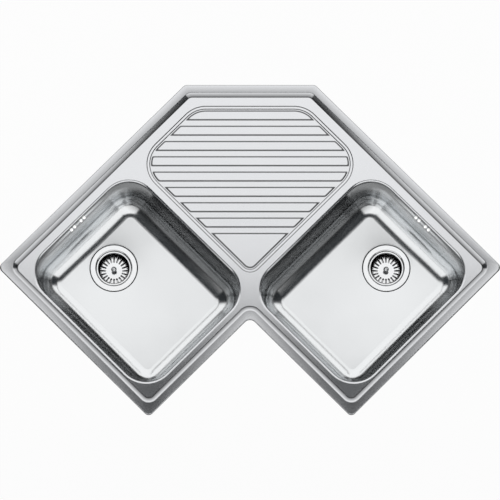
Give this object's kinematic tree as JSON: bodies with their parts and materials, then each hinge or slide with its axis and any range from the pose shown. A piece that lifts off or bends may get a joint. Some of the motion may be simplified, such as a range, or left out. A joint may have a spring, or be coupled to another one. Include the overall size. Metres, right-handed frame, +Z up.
{
  "type": "corner kitchen sink",
  "caption": "Drop-in stainless corner sink with a bowl on each wing, a pressed triangular drainer between them, basket strainer wastes, overflows and worktop clamps.",
  "frame": {"origin": "on the underside of the foam seal, at the worktop's upper face, under the middle of the rim that crosses the cut-off back corner", "axes": "+X toward the right wing's tip, +Y toward the room's corner behind the sink, +Z up out of the worktop; the sink mirrors left to right across X = 0"},
  "size_m": [1.168, 0.7841, 0.2615],
  "materials": {
    "stainless": "satin stainless steel, fine linen-like grain",
    "polished_steel": "polished stainless steel",
    "zinc_steel": "zinc-plated steel",
    "foam": "closed-cell foam strip",
    "seal_rubber": "black rubber",
    "damping_rubber": "matt damping sheet",
    "white_plastic": "moulded polypropylene",
    "grey_plastic": "moulded polypropylene"
  },
  "bodies": {
    "sink": {"deck": "stainless", "rim_seal": "foam", "clamp_studs": "zinc_steel", "left_bowl": "stainless", "left_sound_pad": "damping_rubber", "left_strainer": "stainless", "left_flange_seal": "seal_rubber", "left_waste_gasket": "seal_rubber", "left_waste_body": "white_plastic", "left_waste_screw": "polished_steel", "left_overflow_gasket": "seal_rubber", "left_overflow_housing": "white_plastic", "left_overflow_screw": "polished_steel", "left_overflow_pipe": "grey_plastic", "right_bowl": "stainless", "right_sound_pad": "damping_rubber", "right_strainer": "stainless", "right_flange_seal": "seal_rubber", "right_waste_gasket": "seal_rubber", "right_waste_body": "white_plastic", "right_waste_screw": "polished_steel", "right_overflow_gasket": "seal_rubber", "right_overflow_housing": "white_plastic", "right_overflow_screw": "polished_steel", "right_overflow_pipe": "grey_plastic"},
    "left_basket": {"left_basket": "stainless", "left_basket_stopper": "seal_rubber", "left_basket_knob": "polished_steel"},
    "right_basket": {"right_basket": "stainless", "right_basket_stopper": "seal_rubber", "right_basket_knob": "polished_steel"},
    "clamp_1": {"clamp_arm_1": "zinc_steel", "clamp_nut_1": "zinc_steel"},
    "clamp_2": {"clamp_arm_2": "zinc_steel", "clamp_nut_2": "zinc_steel"},
    "clamp_3": {"clamp_arm_3": "zinc_steel", "clamp_nut_3": "zinc_steel"},
    "clamp_4": {"clamp_arm_4": "zinc_steel", "clamp_nut_4": "zinc_steel"},
    "clamp_5": {"clamp_arm_5": "zinc_steel", "clamp_nut_5": "zinc_steel"},
    "clamp_6": {"clamp_arm_6": "zinc_steel", "clamp_nut_6": "zinc_steel"},
    "clamp_7": {"clamp_arm_7": "zinc_steel", "clamp_nut_7": "zinc_steel"},
    "clamp_8": {"clamp_arm_8": "zinc_steel", "clamp_nut_8": "zinc_steel"},
    "clamp_9": {"clamp_arm_9": "zinc_steel", "clamp_nut_9": "zinc_steel"},
    "clamp_10": {"clamp_arm_10": "zinc_steel", "clamp_nut_10": "zinc_steel"}
  },
  "joints": [
    {"name": "left_basket_lift", "type": "slide", "parent": "sink", "child": "left_basket", "axis": [0, 0, 1], "range_m": [0, 0.22]},
    {"name": "right_basket_lift", "type": "slide", "parent": "sink", "child": "right_basket", "axis": [0, 0, 1], "range_m": [0, 0.22]},
    {"name": "clamp_swing_1", "type": "hinge", "parent": "sink", "child": "clamp_1", "pos_m": [-0.48663, -0.3759, -0.0475], "axis": [0, 0, 1], "range_deg": [0, 90]},
    {"name": "clamp_swing_2", "type": "hinge", "parent": "sink", "child": "clamp_2", "pos_m": [-0.26036, -0.14963, -0.0475], "axis": [0, 0, 1], "range_deg": [0, 90]},
    {"name": "clamp_swing_3", "type": "hinge", "parent": "sink", "child": "clamp_3", "pos_m": [-0.25187, -0.71701, -0.0475], "axis": [0, 0, 1], "range_deg": [-90, 0]},
    {"name": "clamp_swing_4", "type": "hinge", "parent": "sink", "child": "clamp_4", "pos_m": [-0.06915, -0.5671, -0.0475], "axis": [0, 0, 1], "range_deg": [0, 90]},
    {"name": "clamp_swing_5", "type": "hinge", "parent": "sink", "child": "clamp_5", "pos_m": [-0.1, -0.0283, -0.0475], "axis": [0, 0, 1], "range_deg": [0, 90]},
    {"name": "clamp_swing_6", "type": "hinge", "parent": "sink", "child": "clamp_6", "pos_m": [0.48663, -0.3759, -0.0475], "axis": [0, 0, 1], "range_deg": [-90, 0]},
    {"name": "clamp_swing_7", "type": "hinge", "parent": "sink", "child": "clamp_7", "pos_m": [0.26036, -0.14963, -0.0475], "axis": [0, 0, 1], "range_deg": [-90, 0]},
    {"name": "clamp_swing_8", "type": "hinge", "parent": "sink", "child": "clamp_8", "pos_m": [0.25187, -0.71701, -0.0475], "axis": [0, 0, 1], "range_deg": [0, 90]},
    {"name": "clamp_swing_9", "type": "hinge", "parent": "sink", "child": "clamp_9", "pos_m": [0.06915, -0.5671, -0.0475], "axis": [0, 0, 1], "range_deg": [-90, 0]},
    {"name": "clamp_swing_10", "type": "hinge", "parent": "sink", "child": "clamp_10", "pos_m": [0.1, -0.0283, -0.0475], "axis": [0, 0, 1], "range_deg": [-90, 0]}
  ]
}
